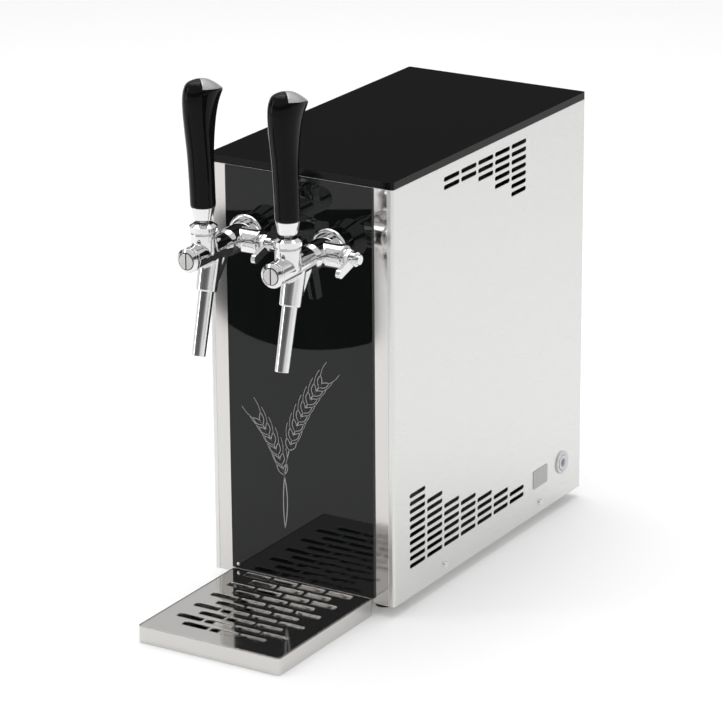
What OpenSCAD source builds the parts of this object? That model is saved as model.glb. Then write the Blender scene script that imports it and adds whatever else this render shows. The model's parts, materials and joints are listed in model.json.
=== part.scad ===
// Counter-top beer cooler with two taps, a drip tray and an air pump.
// Millimetres. +Z up, +X right as the user sees it, front toward -Y, feet on z = 0.

/* [Cabinet] */
// Outside width over the side sheets
cab_w = 194; // [180:1:220]
// Depth from the front sheet to the rear sheet
cab_d = 358; // [345:1:400]
// Height of the side sheets
panel_h = 393; // [385:1:430]
// Height of the lid
lid_h = 7; // [5:0.5:12]
// Height of the rubber feet
foot_h = 11; // [8:0.5:16]
// Thickness of the outer sheets
sheet_t = 1; // [0.8:0.1:1.5]
// Thickness of the inner sheet work
pan_t = 1.2; // [0.8:0.1:1.6]
// Outside radius of the sheet bends
bend_r = 2.5; // [2:0.1:4]
// Width of the side sheets' front and rear lips
lip_w = 3; // [2:0.5:5]
// Height of the base pan's upturned edges
flange_h = 20; // [16:1:26]
// Width of the glass fascia
fascia_w = 153; // [140:1:165]
// Gap from the drip tray's rim to the fascia's foot
fascia_foot = 0.4; // [0.3:0.1:6]
// Thickness of the fascia
fascia_t = 2; // [1.5:0.5:4]
// Radius of a foot
foot_r = 9.5; // [9:0.5:13]
// Distance from a foot's axis to the cabinet's outside
foot_inset = 26; // [22:1:30]

/* [Side vents] */
// Length of a vent slot
vent_len = 28; // [20:0.5:29]
// Height of a vent slot
vent_gap = 4.2; // [2.5:0.1:5]
// Spacing of the slot columns
vent_dy = 31.1; // [30:0.1:33]
// Spacing of the slot rows
vent_dz = 7.6; // [6.5:0.1:8]
// Front end of the first upper column
upper_y = 89; // [60:1:100]
// Front end of the first lower column
lower_y = 27.5; // [25:0.5:60]
// Depth of the upper group's first row under the side sheet's top
upper_drop = 12.5; // [8:0.5:20]
// Height of the lower group's first row over the side sheet's foot
lower_rise = 30; // [26:1:40]

/* [Drip tray] */
// Width of the pan
tray_w = 150; // [120:1:165]
// Reach of the pan in front of the cabinet
tray_reach = 160; // [140:1:180]
// Height of the pan
tray_h = 16; // [14:0.5:18]
// Wall of the pan
tray_t = 1; // [0.8:0.1:1.5]
// Corner radius of the pan
tray_r = 4; // [3:0.5:8]
// Width of the ledge under the grille
ledge_w = 5; // [4:0.5:8]
// Thickness of the grille
grille_t = 1.2; // [1:0.1:2]
// Gap around the grille
grille_gap = 0.5; // [0.3:0.1:1]
// Length of a grille slot
slot_len = 26.5; // [20:0.5:28]
// Width of a grille slot
slot_w = 8.4; // [6:0.2:10]
// Corner radius of a grille slot
slot_r = 2; // [1:0.5:3]
// Spacing of the slots in a row
slot_dx = 29.5; // [28.5:0.1:31]
// Spacing of the slot rows
slot_dy = 13.7; // [12:0.1:14]
// Distance from the pan's back to the first row
slot_first = 10; // [9:0.5:14]

/* [Taps] */
// Distance between the two taps
tap_spacing = 87; // [80:1:90]
// Height of the tap axis over the table
tap_z = 349; // [330:1:360]
// Radius of the tap's rear barrel
barrel_r = 12.5; // [12:0.5:14]
// Radius of the tap's valve barrel
valve_r = 11; // [10.6:0.1:11.8]
// Distance from the cabinet's front to the end of the tap body
tap_reach = 110; // [106:1:116]
// Distance from the cabinet's front to the handle's pivot
pivot_y = 87; // [85:1:89]
// Height of the handle's pivot over the tap axis
pivot_z = 22; // [21.5:0.1:22.5]
// Radius of the shank
shank_r = 9.5; // [9.2:0.1:10]
// Bore of the shank
shank_bore = 4; // [3:0.5:5]
// Length of the shank behind the front sheet
shank_tail = 41; // [36:1:44]
// Radius of the escutcheon flange
flange_r = 15; // [14:0.5:20]
// Thickness of the escutcheon flange
flange_t = 4; // [3:0.5:5]
// Reach of the coupling ring from the fascia
collar_len = 20; // [16:0.5:20]
// Radius of the coupling ring at its front
collar_r = 18; // [17:0.5:19]
// Rounding of the coupling ring's front
collar_round = 3; // [2:0.5:4]
// Tilt of the spout toward the front
spout_tilt = 14.5; // [8:0.5:18]
// Length of the spout along its axis, from the tap axis
spout_len = 94; // [80:1:105]
// Radius of the spout at its socket
spout_r = 7; // [6.5:0.1:7.5]
// Radius of the spout at its tip
spout_tip_r = 6.3; // [5.8:0.1:6.5]
// Bore of the spout
spout_bore = 5; // [4:0.1:5.2]
// Height of the ferrule
ferrule_h = 12.3; // [11.5:0.1:14]
// Length of the handle
handle_h = 116.5; // [105:0.5:130]
// Radius of the handle at the ferrule
handle_r = 10.9; // [10:0.1:12]
// Radius of the lever's stem
stem_r = 4; // [3.5:0.1:4.2]
// Distance from the cabinet's front to the compensator lever's axis
comp_y = 36; // [35:0.5:38]
// Reach of the compensator boss from the tap axis
comp_reach = 27; // [24:1:30]
// Length of the compensator lever
comp_len = 29; // [24:1:32]
// Throw of the compensator's crank pin
crank = 3; // [2.5:0.1:3.2]

/* [Cooling] */
// Width of the cold block
block_w = 116; // [110:1:124]
// Depth of the cold block
block_d = 100; // [90:1:110]
// Height of the cold block
block_h = 170; // [166:1:174]
// Thickness of the foam round the block, at its sides
foam_side = 20; // [15:1:22]
// Thickness of the foam at the block's front, back and foot
foam_t = 24; // [22:1:26]
// Height of the shelf over the table
shelf_z = 170; // [164:1:174]
// Radius of the compressor's can
can_r = 56; // [50:1:58]
// Height of the compressor's can
can_h = 118; // [105:1:122]
// Height of the compressor's grommets
grommet_h = 14; // [10:1:16]
// Radius of the fan
fan_r = 50; // [44:1:52]
// Radius of the condenser tube
tube_r = 4; // [3:0.5:4.5]
// Spacing of the condenser tubes
tube_dz = 22; // [20:0.5:23]
// Number of condenser fins
fins = 18; // [10:1:20]
// Radius of the beer lines and hoses
hose_r = 4.75; // [4:0.05:5]
// Wall of the beer lines and hoses
hose_wall = 1.25; // [1:0.05:1.5]

/* [Rear fittings] */
// Distance between the beer inlets
inlet_spacing = 100; // [90:1:104]
// Height of the beer inlets and the thermostat
inlet_z = 300; // [285:1:310]
// Reach of the longest rear fitting behind the cabinet
rear_reach = 14; // [12:0.5:20]
// Height of the mains inlet and the switches
mains_z = 200; // [195:1:215]
// Distance from the air outlet to the back
outlet_back = 39.5; // [34:0.5:42]
// Height of the air outlet over the table
outlet_z = 48; // [46:1:52]
// Reach of the air outlet's collar beside the cabinet
outlet_reach = 1.4; // [1:0.1:4]

/* [Fits] */
// Running clearance of shafts and slides
run_fit = 0.05; // [0.03:0.01:0.08]
// Clearance between parts that pass each other
free_fit = 0.35; // [0.3:0.05:0.45]

/* [Hidden] */
$fn = 48;
hw = cab_w / 2;
in_hw = hw - sheet_t;
base_z = foot_h;
floor_z = base_z + pan_t;
top_z = base_z + panel_h;
bend_in = hw - bend_r;
lip_x = bend_in - lip_w;
sheet_x = lip_x - 0.1;
face_y = -fascia_t;
back_in = cab_d - sheet_t;
origin_y = (tray_reach - cab_d - rear_reach) / 2;
tap_x = tap_spacing / 2;
body_y = face_y - flange_t;
upper_counts = [2, 2, 3, 5, 7];
lower_counts = [10, 8, 6, 5, 4, 3, 2];
grille_rows = 10;

// tap, from the tap axis
socket_y = body_y - 12;
seat_y = -62;
seat_t = 4;
chamber_r = shank_r - 0.5;
front_r = valve_r - 3;
comp_r = 11.2;
spindle_r = 3.5;
crank_r = 1.5;
gland_x = comp_reach + 6;
lever_x = gland_x + free_fit;
lever_t = 4;
bonnet_r = valve_r + 0.6;
bonnet_top = pivot_z - 2.6;
nut_r = bonnet_r + 0.8;
nut_top = pivot_z + 5.8;
nut_lip = 1.8;
nut_slope = 2.2;
nut_slot = 6.8;
ball_r = 5.5;
tip_arm = pivot_z + 1;
tip_r = 3;
arm_r = 2.4;
arm_room = arm_r + 0.45;
stem_room = stem_r + 0.4;
tilt = 20;
rod_r = 5.5;
ferrule_z = pivot_z + 8.8;
handle_z = ferrule_z + ferrule_h;
spout_y = -75.9;
socket_l = 36.2;
spout_in = 14;

// cooling
shelf_top = shelf_z + pan_t;
foam_y = 52;
block_y = foam_y + foam_t;
block_z = shelf_top + foam_t;
foam_back = block_y + block_d + foam_t;
can_y = 110;
can_z = floor_z + grommet_h + 2;
fan_z = floor_z + 73;
cond_y = cab_d - 43;
motor_y = cond_y - 87;
cond_z = floor_z + 18;
cond_hw = in_hw - 36;
line_x = -(in_hw - 14);
rise_y = (can_y + can_r + 4 + motor_y) / 2;
liquid_x = -(in_hw - 8);
liquid_y = cond_y - 75;
shelf_back = cab_d - 48;
suction_x = 50;
suction_y = 150;

// helpers

module place() translate([0, origin_y, 0]) children();

module at_tap(side) place() translate([side * tap_x, 0, tap_z]) children();

module both_taps() {
    at_tap(-1) children();
    at_tap(1) children();
}

module box(x0, x1, y0, y1, z0, z1) translate([x0, y0, z0]) cube([x1 - x0, y1 - y0, z1 - z0]);

module x_rod(r, x0, x1, y = 0, z = 0) translate([x0, y, z]) rotate([0, 90, 0]) cylinder(h = x1 - x0, r = r);

module y_rod(r, y0, y1, x = 0, z = 0) translate([x, y0, z]) rotate([-90, 0, 0]) cylinder(h = y1 - y0, r = r);

module y_cone(ra, rb, y0, y1)
    translate([0, y0, 0]) rotate([-90, 0, 0]) cylinder(h = y1 - y0, r1 = ra, r2 = rb);

module y_hex(r, y0, y1) translate([0, y0, 0]) rotate([-90, 0, 0]) cylinder(h = y1 - y0, r = r, $fn = 6);

module run(a, b, r) {
    d = b - a;
    len = norm(d);
    translate(a) rotate([0, acos(d[2] / len), atan2(d[1], d[0])]) cylinder(h = len, r = r);
}

// each elbow is a ball a little thicker than the tube
elbow_more = 0.2;

module pipe(pts, r) {
    for (i = [0 : len(pts) - 2]) run(pts[i], pts[i + 1], r);
    if (len(pts) > 2) for (i = [1 : len(pts) - 2]) translate(pts[i]) sphere(r = r + elbow_more);
}

// plate with rounded upright corners, centred on x
module round_plate(w, y0, y1, z0, z1, r) {
    box(-w / 2 + r, w / 2 - r, y0, y1, z0, z1);
    box(-w / 2, w / 2, y0 + r, y1 - r, z0, z1);
    for (x = [-w / 2 + r, w / 2 - r], y = [y0 + r, y1 - r])
        translate([x, y, z0]) cylinder(h = z1 - z0, r = r);
}

// cabinet

module vent_column(y, z, rows, step) {
    r = vent_gap / 2;
    for (i = [0 : rows - 1]) {
        box(in_hw - 1, hw + 1, y + r, y + vent_len - r, z + i * step - r, z + i * step + r);
        for (e = [y + r, y + vent_len - r]) x_rod(r, in_hw - 1, hw + 1, e, z + i * step);
    }
}

module side_corner() intersection() {
    difference() {
        translate([bend_in, bend_r, base_z]) cylinder(h = panel_h, r = bend_r);
        translate([bend_in, bend_r, base_z - 1]) cylinder(h = panel_h + 2, r = bend_r - sheet_t);
    }
    box(bend_in, hw + 1, -1, bend_r, base_z - 1, top_z + 1);
}

module side_lip() {
    side_corner();
    box(lip_x, bend_in, 0, sheet_t, base_z, top_z);
}

module side_panel(outlet) difference() {
    union() {
        box(in_hw, hw, bend_r, cab_d - bend_r, base_z, top_z);
        side_lip();
        translate([0, cab_d, 0]) mirror([0, 1, 0]) side_lip();
    }
    for (i = [0 : len(upper_counts) - 1])
        vent_column(upper_y + i * vent_dy, top_z - upper_drop, upper_counts[i], -vent_dz);
    for (i = [0 : len(lower_counts) - 1])
        vent_column(lower_y + i * vent_dy, base_z + lower_rise, lower_counts[i], vent_dz);
    for (y = side_screw_y) x_rod(2, in_hw - 1, hw + 1, y, screw_z);
    if (outlet) x_rod(9, in_hw - 1, hw + 1, outlet_y, outlet_z);
}

side_screw_y = [91.5, cab_d - 83];
screw_z = base_z + flange_h / 2;

module right_side_panel() color("Gainsboro") place() side_panel(true);

module left_side_panel() color("Gainsboro") place() mirror([1, 0, 0]) side_panel(false);

module base_pan() color("Silver") place() difference() {
    union() {
        box(-in_hw, in_hw, bend_r, cab_d - bend_r, base_z, floor_z);
        box(-bend_in, bend_in, sheet_t, back_in, base_z, floor_z);
        for (s = [-1, 1])
            box(min(s * in_hw, s * (in_hw - pan_t)), max(s * in_hw, s * (in_hw - pan_t)),
                bend_r, cab_d - bend_r, base_z, base_z + flange_h);
        box(-bend_in, bend_in, sheet_t, sheet_t + pan_t, base_z, base_z + flange_h);
        box(-bend_in, bend_in, back_in - pan_t, back_in, base_z, base_z + flange_h);
    }
    for (y = side_screw_y) x_rod(2, -hw - 1, hw + 1, y, screw_z);
    for (s = [-1, 1]) y_rod(2, back_in - 5, cab_d + 1, s * 70, screw_z);
    for (x = [-hw + foot_inset, hw - foot_inset], y = [foot_inset, cab_d - foot_inset])
        translate([x, y, base_z - 1]) cylinder(h = 5, r = 4);
}

module rubber_feet() color("DimGray") place()
    for (x = [-hw + foot_inset, hw - foot_inset], y = [foot_inset, cab_d - foot_inset]) translate([x, y, 0]) {
        cylinder(h = foot_h, r1 = foot_r - 1, r2 = foot_r);
        cylinder(h = foot_h + pan_t + 0.4, r = 4);
        translate([0, 0, foot_h + pan_t]) cylinder(h = 2.5, r1 = 6, r2 = 4.5);
    }

module front_panel() color("Silver") place() difference() {
    union() {
        box(-sheet_x, sheet_x, 0, sheet_t, base_z, top_z);
        for (s = [-1, 1])
            translate([s * (sheet_x - 1), sheet_t, base_z + flange_h + 1])
                translate([-3, 0, 0]) cube([6, sheet_t, panel_h - flange_h - 2]);
        box(-sheet_x + 6, sheet_x - 6, sheet_t, 14, top_z - pan_t, top_z);
    }
    for (s = [-1, 1]) y_rod(shank_r, -1, 3, s * tap_x, tap_z);
}

fascia_top = 0.2;

module black_fascia() color("Black") place() difference() {
    box(-fascia_w / 2, fascia_w / 2, face_y, 0, tray_h + fascia_foot, top_z - fascia_top);
    for (s = [-1, 1]) y_rod(shank_r, face_y - 1, 1, s * tap_x, tap_z);
}

module rear_panel() color("Silver") place() difference() {
    union() {
        box(-sheet_x, sheet_x, back_in, cab_d, base_z, top_z);
        for (s = [-1, 1])
            translate([s * (sheet_x - 1) - 3, back_in - sheet_t, base_z + flange_h + 1])
                cube([6, sheet_t, panel_h - flange_h - 2]);
    }
    for (s = [-1, 1]) y_rod(2, back_in - 5, cab_d + 1, s * 70, screw_z);
    for (i = [-6 : 6]) {
        half = sqrt(max(0, 52 * 52 - pow(i * 8, 2)));
        box(-half, half, back_in - 1, cab_d + 1, fan_z + i * 8 - 2, fan_z + i * 8 + 2);
    }
    for (s = [-1, 1]) y_rod(inlet_r, back_in - 1, cab_d + 1, s * inlet_spacing / 2, inlet_z);
    y_rod(spindle_hole, back_in - 1, cab_d + 1, 0, inlet_z);
    box(-inlet_x - 14, -inlet_x + 14, back_in - 1, cab_d + 1, mains_z - 10, mains_z + 10);
    for (x = switch_x) box(x - 7, x + 7, back_in - 1, cab_d + 1, mains_z - 10, mains_z + 10);
}

inlet_r = 8;
inlet_x = 50;
switch_x = [5, 45];
spindle_hole = 5;

module top_lid() color("Black") place() difference() {
    round_plate(cab_w, 0, cab_d, top_z, top_z + lid_h, bend_r);
    box(-hw + 4, hw - 4, 4, cab_d - 4, top_z - 1, top_z + lid_h - 2);
}

module screw(r, len) {
    cylinder(h = 1.6, r1 = r, r2 = r - 0.9);
    translate([0, 0, -len]) cylinder(h = len + 0.1, r = 2);
}

module panel_screws() color("Silver") place() {
    for (y = side_screw_y) {
        translate([hw, y, screw_z]) rotate([0, 90, 0]) screw(3.6, sheet_t + pan_t + 2);
        translate([-hw, y, screw_z]) rotate([0, -90, 0]) screw(3.6, sheet_t + pan_t + 2);
    }
    for (s = [-1, 1]) translate([s * 70, cab_d, screw_z]) rotate([-90, 0, 0]) screw(3.6, sheet_t + pan_t + 2);
}

module block_shelf() color("Silver") place() difference() {
    union() {
        box(-in_hw, in_hw, 20, shelf_back, shelf_z, shelf_top);
        for (s = [-1, 1])
            box(min(s * in_hw, s * (in_hw - pan_t)), max(s * in_hw, s * (in_hw - pan_t)),
                20, shelf_back, shelf_top - 15, shelf_top);
    }
    translate([suction_x, suction_y, shelf_z - 1]) cylinder(h = 5, r = tube_r);
    translate([liquid_x, liquid_y, shelf_z - 1]) cylinder(h = 5, r = 2.5);
}

// cooling

module can() translate([0, can_y, can_z]) {
    translate([0, 0, 20]) cylinder(h = can_h - 40, r = can_r);
    cylinder(h = can_h, r = can_r - 20);
    for (z = [20, can_h - 20])
        translate([0, 0, z]) rotate_extrude() translate([can_r - 20, 0]) circle(r = 20);
}

module compressor() color("DimGray") place() {
    can();
    y_rod(4.5, can_y, can_y + can_r + 4, -20, hot_z);
    x_rod(5.5, 0, suction_x - 6, suction_y, cold_z);
    translate([0, can_y, can_z + can_h / 2]) cylinder(h = 4, r = can_r + 2, center = true);
    difference() {
        box(-76, 76, can_y - 32, can_y + 32, can_z - 2, can_z + 0.5);
        for (x = [-65, 65], y = [can_y - 20, can_y + 20]) translate([x, y, can_z - 3]) cylinder(h = 5, r = 4);
    }
    difference() {
        box(-24, 24, can_y - can_r - 22, can_y - can_r + 12, can_z + 30, can_z + 72);
        translate([0, can_y, can_z]) cylinder(h = can_h, r = can_r - 1);
    }
}

module compressor_grommets() color("DimGray") place()
    for (x = [-65, 65], y = [can_y - 20, can_y + 20]) translate([x, y, floor_z]) {
        cylinder(h = grommet_h, r = 9);
        cylinder(h = grommet_h + 2.7, r = 4);
        translate([0, 0, grommet_h + 2.5]) cylinder(h = 3, r = 7);
    }

module condenser() color("Silver") place() {
    step = 2 * (cond_hw - 3) / (fins - 1);
    for (i = [0 : fins - 1])
        box(-cond_hw + 3 + i * step - 0.4, -cond_hw + 3 + i * step + 0.4,
            cond_y - 15, cond_y + 15, floor_z + 4, floor_z + 142);
    for (s = [-1, 1]) box(s * cond_hw - 1, s * cond_hw + 1, cond_y - 15, cond_y + 15, floor_z, floor_z + 146);
    for (i = [0 : 5]) {
        out = (i == 0 || i == 5) ? -cond_hw - 12 : -cond_hw - 1;
        x_rod(tube_r, out, cond_hw + 1, cond_y, cond_z + i * tube_dz);
    }
    for (i = [0, 2, 4]) translate([cond_hw + 1, cond_y, cond_z + (i + 0.5) * tube_dz]) bend_right();
    for (i = [1, 3]) translate([-cond_hw - 1, cond_y, cond_z + (i + 0.5) * tube_dz])
        mirror([1, 0, 0]) bend_right();
}

module bend_right() rotate([90, 0, 0]) rotate([0, 0, -90]) rotate_extrude(angle = 180)
    translate([tube_dz / 2, 0]) circle(r = tube_r);

module fan_shroud() color("DimGray") place() {
    difference() {
        box(-cond_hw - 1, cond_hw + 1, cond_y - 31, cond_y - 29.8, floor_z, floor_z + 146);
        y_rod(fan_r + 4, cond_y - 35, cond_y - 25, 0, fan_z);
    }
    for (s = [-1, 1]) box(s * cond_hw - 1, s * cond_hw + 1, cond_y - 30, cond_y - 15, floor_z, floor_z + 146);
    difference() {
        box(-cond_hw - 1, cond_hw + 1, cond_y - 53, cond_y - 51, fan_z - 8, fan_z + 8);
        y_rod(motor_shaft + 1, cond_y - 55, cond_y - 45, 0, fan_z);
    }
    for (s = [-1, 1]) box(s * cond_hw - 1, s * cond_hw + 1, cond_y - 53, cond_y - 30, fan_z - 8, fan_z + 8);
}

motor_shaft = 2.5;

module fan_motor() color("Gray") place() difference() {
    union() {
        y_rod(26, motor_y, cond_y - 57, 0, fan_z);
        y_rod(14, cond_y - 57, cond_y - 53, 0, fan_z);
    }
    y_rod(motor_shaft + run_fit, cond_y - 70, cond_y - 50, 0, fan_z);
}

module fan_blade() color("WhiteSmoke") place() translate([0, 0, fan_z]) {
    y_rod(motor_shaft, cond_y - 69, cond_y - 40, 0, 0);
    y_rod(13, cond_y - 44, cond_y - 22, 0, 0);
    for (a = [0 : 72 : 288]) rotate([0, a, 0]) translate([0, cond_y - 33, 0]) rotate([0, 0, 32])
        intersection() {
            translate([-13, -0.7, 10]) cube([26, 1.4, fan_r - 10]);
            rotate([0, 0, -32]) y_rod(fan_r, -20, 20);
        }
}

module refrigerant_lines() color("Peru") place() {
    top_tube = cond_z + 5 * tube_dz;
    pipe([[-20, can_y + can_r + 4, hot_z], [-20, rise_y, hot_z], [-20, rise_y, top_tube],
        [line_x, rise_y, top_tube], [line_x, cond_y, top_tube], [-cond_hw - 12, cond_y, top_tube]], 3);
    pipe([[suction_x - 6, suction_y, cold_z], [suction_x, suction_y, cold_z],
        [suction_x, suction_y, block_z]], tube_r);
    pipe([[-cond_hw - 12, cond_y, cond_z], [liquid_x, cond_y, cond_z], [liquid_x, liquid_y, cond_z],
        [liquid_x, liquid_y, liquid_z], [-45, liquid_y, liquid_z], [-45, block_y + block_d, liquid_z]], 2.5);
    translate([liquid_x, liquid_y, floor_z + 34]) {
        cylinder(h = 44, r = 7);
        translate([0, 0, -4]) cylinder(h = 4, r1 = 3.2, r2 = 7);
        translate([0, 0, 44]) cylinder(h = 4, r1 = 7, r2 = 3.2);
    }
}

hot_z = can_z + 78;
cold_z = can_z + 70;
liquid_z = shelf_top + 40;

module cold_block() color("LightGray") place()
    box(-block_w / 2, block_w / 2, block_y, block_y + block_d, block_z, block_z + block_h);

module block_insulation() color("Beige") place() difference() {
    box(-block_w / 2 - foam_side, block_w / 2 + foam_side, foam_y, foam_back,
        shelf_top, block_z + block_h + foam_t);
    box(-block_w / 2, block_w / 2, block_y, block_y + block_d, block_z, block_z + block_h);
    for (s = [-1, 1]) {
        y_rod(hose_r, foam_y - 1, block_y + 1, s * tap_x, tap_z);
        y_rod(hose_r, block_y + block_d - 1, foam_back + 1, s * inlet_spacing / 2, inlet_z);
    }
    translate([suction_x, suction_y, shelf_top - 1]) cylinder(h = foam_t + 2, r = tube_r);
    y_rod(2.5, block_y + block_d - 1, foam_back + 1, -45, liquid_z);
}

// beer path

module beer_lines() color("LightGray") place() for (s = [-1, 1]) translate([s * tap_x, 0, tap_z]) difference() {
    union() {
        y_rod(hose_r, tail_y, block_y);
        y_rod(shank_r + 3, tail_y - 7, tail_y + 5);
    }
    y_rod(shank_r, tail_y - 8, tail_y);
    y_rod(hose_r - hose_wall, tail_y - 1, block_y + 1);
}

tail_y = sheet_t + shank_tail;

module inlet_hoses() color("White") place() for (s = [-1, 1]) difference() {
    y_rod(hose_r, block_y + block_d, inlet_in, s * inlet_spacing / 2, inlet_z);
    y_rod(hose_r - hose_wall, block_y + block_d - 1, inlet_in + 1, s * inlet_spacing / 2, inlet_z);
}

inlet_in = back_in - 27;
collet_gap = 2;

module beer_inlets() color("White") place()
    for (s = [-1, 1]) translate([s * inlet_spacing / 2, 0, inlet_z]) {
        difference() {
            union() {
                y_rod(inlet_r, inlet_in, cab_d + 1);
                y_rod(12, cab_d, cab_d + rear_reach - 4);
            }
            y_rod(hose_r - hose_wall, inlet_in - 1, cab_d + rear_reach);
            y_rod(hose_r + 0.1, back_in - 12, cab_d + rear_reach);
            y_rod(7 + run_fit, cab_d - 2, cab_d + rear_reach);
        }
        difference() {
            y_hex(13, back_in - 7, back_in);
            y_rod(inlet_r, back_in - 8, back_in + 1);
        }
    }

module inlet_collet(side) place() translate([side * inlet_spacing / 2, 0, inlet_z]) difference() {
    union() {
        y_rod(7, cab_d + 1, cab_d + rear_reach - 1);
        y_rod(8.5, cab_d + rear_reach - 4 + collet_gap, cab_d + rear_reach);
    }
    y_rod(hose_r + 0.1, cab_d, cab_d + rear_reach + 1);
}

module left_inlet_collet() color("DimGray") inlet_collet(-1);

module right_inlet_collet() color("DimGray") inlet_collet(1);

// air pump and its outlet

pump_y = foam_back + 22;
pump_back = cab_d - 50;
barb_y = pump_back - 8;
outlet_y = cab_d - outlet_back;
barb_z = shelf_top + 28;
air_x = in_hw - 13;
air_bore = 4.1;
outlet_r = 11.3;
collet_r = 6;
collet_rim = 7.4;

module air_pump() color("DimGray") place() {
    round_plate(64, pump_y, pump_back, shelf_top, shelf_top + 70, 8);
    x_rod(3, 31, 43, barb_y, barb_z);
}

module air_hose() color("White") place() difference() {
    pipe([[34, barb_y, barb_z], [air_x, barb_y, barb_z], [air_x, outlet_y, barb_z],
        [air_x, outlet_y, outlet_z + 9]], 4.5);
    pipe([[33, barb_y, barb_z], [air_x, barb_y, barb_z], [air_x, outlet_y, barb_z],
        [air_x, outlet_y, outlet_z + 8]], 3);
}

module air_outlet() color("WhiteSmoke") place() {
    difference() {
        union() {
            x_rod(7, in_hw - 20, in_hw - 3, outlet_y, outlet_z);
            x_rod(9, in_hw - 4, hw + 0.5, outlet_y, outlet_z);
            x_rod(outlet_r, hw, hw + outlet_reach, outlet_y, outlet_z);
            translate([air_x, outlet_y, outlet_z]) cylinder(h = 18, r = 3);
        }
        x_rod(air_bore, in_hw - 17, hw + outlet_reach, outlet_y, outlet_z);
        x_rod(collet_r + run_fit, hw - 9, hw + outlet_reach, outlet_y, outlet_z);
        x_rod(collet_rim + 0.4, hw - 0.9, hw + outlet_reach + 1, outlet_y, outlet_z);
    }
    difference() {
        translate([in_hw - 5, outlet_y, outlet_z]) rotate([0, 90, 0]) cylinder(h = 5, r = 12, $fn = 6);
        x_rod(9, in_hw - 6, in_hw + 1, outlet_y, outlet_z);
    }
}

module air_outlet_collet() color("WhiteSmoke") place() difference() {
    union() {
        x_rod(collet_r, hw - 6, hw + outlet_reach, outlet_y, outlet_z);
        x_rod(collet_rim, hw + outlet_reach - 0.6, hw + outlet_reach + 0.4, outlet_y, outlet_z);
    }
    x_rod(air_bore, hw - 8, hw + outlet_reach + 1, outlet_y, outlet_z);
}

// electrics on the rear sheet

module thermostat() color("DimGray") place() difference() {
    union() {
        box(-22, 22, back_in - 30, back_in, inlet_z - 18, inlet_z + 18);
        y_rod(spindle_hole, back_in - 1, cab_d + 2, 0, inlet_z);
    }
    y_rod(3 + run_fit, back_in - 20, cab_d + 3, 0, inlet_z);
}

module thermostat_knob() color("Black") place() translate([0, 0, inlet_z]) {
    y_rod(3, back_in - 19, cab_d + 4);
    translate([0, cab_d + 2.5, 0]) rotate([-90, 0, 0]) cylinder(h = rear_reach - 4.5, r1 = 15, r2 = 13.5);
    box(-2, 2, cab_d + 4, cab_d + rear_reach - 0.5, 0, 12.6);
}

module mains_inlet() color("Black") place() translate([-inlet_x, 0, mains_z]) {
    difference() {
        union() {
            box(-14, 14, back_in - 19, cab_d + 0.5, -10, 10);
            round_plate_y(50, 23, cab_d, cab_d + 2.5, 4);
        }
        box(-12.2, 12.2, back_in - 16, cab_d + 3, -8, 8);
        for (s = [-1, 1]) y_rod(1.75, cab_d - 1, cab_d + 3, s * 20, 0);
    }
    box(-1, 1, back_in - 17, cab_d - 2, -4, 0);
    for (s = [-1, 1]) box(s * 7 - 1, s * 7 + 1, back_in - 17, cab_d - 2, 0, 4);
}

module round_plate_y(w, h, y0, y1, r) {
    box(-w / 2 + r, w / 2 - r, y0, y1, -h / 2, h / 2);
    box(-w / 2, w / 2, y0, y1, -h / 2 + r, h / 2 - r);
    for (x = [-w / 2 + r, w / 2 - r], z = [-h / 2 + r, h / 2 - r]) y_rod(r, y0, y1, x, z);
}

module switch_housings() color("Black") place() for (x = switch_x) translate([x, 0, mains_z]) difference() {
    union() {
        box(-7, 7, back_in - 17, cab_d + 0.5, -10, 10);
        round_plate_y(18, 25, cab_d, cab_d + 2, 2);
    }
    box(-5.4, 5.4, back_in - 14, cab_d + 3, -8.6, 8.6);
    x_rod(1.5 + run_fit, -6.6, 6.6, cab_d - 4, 0);
}

// the rocker is turned about x in its housing
module rocker() difference() {
    union() {
        intersection() {
            x_rod(8.2, -5, 5, 0, 0);
            box(-6, 6, -4, 9, -9, 9);
        }
        x_rod(1.5, -6.5, 6.5, 0, 0);
    }
    translate([-7, 8.6, 0]) rotate([90, 0, 90])
        linear_extrude(height = 14) polygon([[-2.6, 0], [0, -9.5], [4, -9.5], [4, 9.5], [0, 9.5]]);
}

module power_switch() color("DarkGreen") place() translate([switch_x[0], cab_d - 4, mains_z]) rocker();

module pump_switch() color("DarkRed") place() translate([switch_x[1], cab_d - 4, mains_z]) rocker();

// drip tray

tray_back = -0.4;
grille_z = tray_h - grille_t;

module drip_pan() color("Silver") place() difference() {
    round_plate(tray_w, -tray_reach, tray_back, 0, tray_h, tray_r);
    round_plate(tray_w - 2 * tray_t, -tray_reach + tray_t, tray_back - tray_t, grille_z, tray_h + 1,
                tray_r - tray_t);
    difference() {
        round_plate(tray_w - 2 * tray_t, -tray_reach + tray_t, tray_back - tray_t, tray_t, grille_z + 0.1,
            tray_r - tray_t);
        difference() {
            round_plate(tray_w - tray_t, -tray_reach + tray_t / 2, tray_back - tray_t / 2,
                        grille_z - 1, grille_z + 1, tray_r);
            box(-tray_w / 2 + ledge_w, tray_w / 2 - ledge_w, -tray_reach + ledge_w, tray_back - ledge_w,
                grille_z - 2, grille_z + 2);
        }
    }
}

module grille_slot(x, y) {
    box(x - slot_len / 2 + slot_r, x + slot_len / 2 - slot_r, y - slot_w / 2, y + slot_w / 2,
        grille_z - 1, tray_h + 1);
    box(x - slot_len / 2, x + slot_len / 2, y - slot_w / 2 + slot_r, y + slot_w / 2 - slot_r,
        grille_z - 1, tray_h + 1);
    for (sx = [-1, 1], sy = [-1, 1])
        translate([x + sx * (slot_len / 2 - slot_r), y + sy * (slot_w / 2 - slot_r), grille_z - 1])
            cylinder(h = grille_t + 2, r = slot_r);
}

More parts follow.
